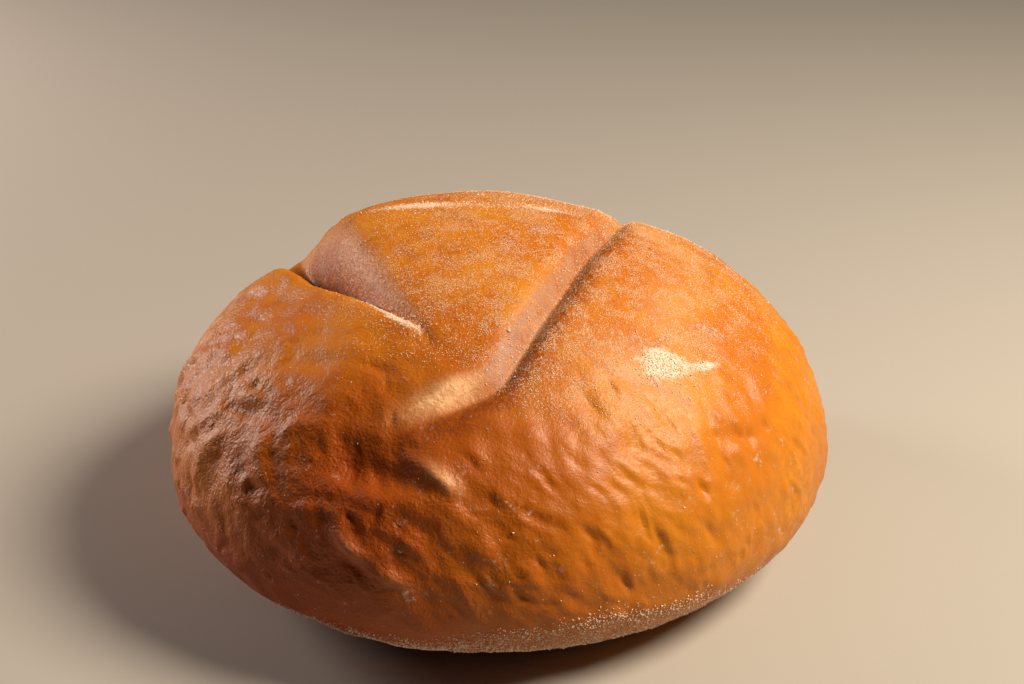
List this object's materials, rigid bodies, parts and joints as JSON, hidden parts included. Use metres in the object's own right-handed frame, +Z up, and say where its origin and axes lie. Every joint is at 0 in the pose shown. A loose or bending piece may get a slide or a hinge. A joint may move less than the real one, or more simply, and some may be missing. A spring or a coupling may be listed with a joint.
{
  "type": "boule",
  "caption": "Round white loaf with a flat foot, a browned crust and creases on its crown that part it into lobes.",
  "frame": {"origin": "middle of the loaf's plan, on the plane that it rests on", "axes": "+Z up; -Y is the front, towards which the tongue between the creases points; +X is to the right of the front"},
  "size_m": [0.2, 0.1988, 0.0974],
  "materials": {
    "crust": "baked to a semi-gloss golden brown, dusted with flour and fine semolina"
  },
  "bodies": {
    "root": {"loaf": "crust"}
  },
  "joints": []
}
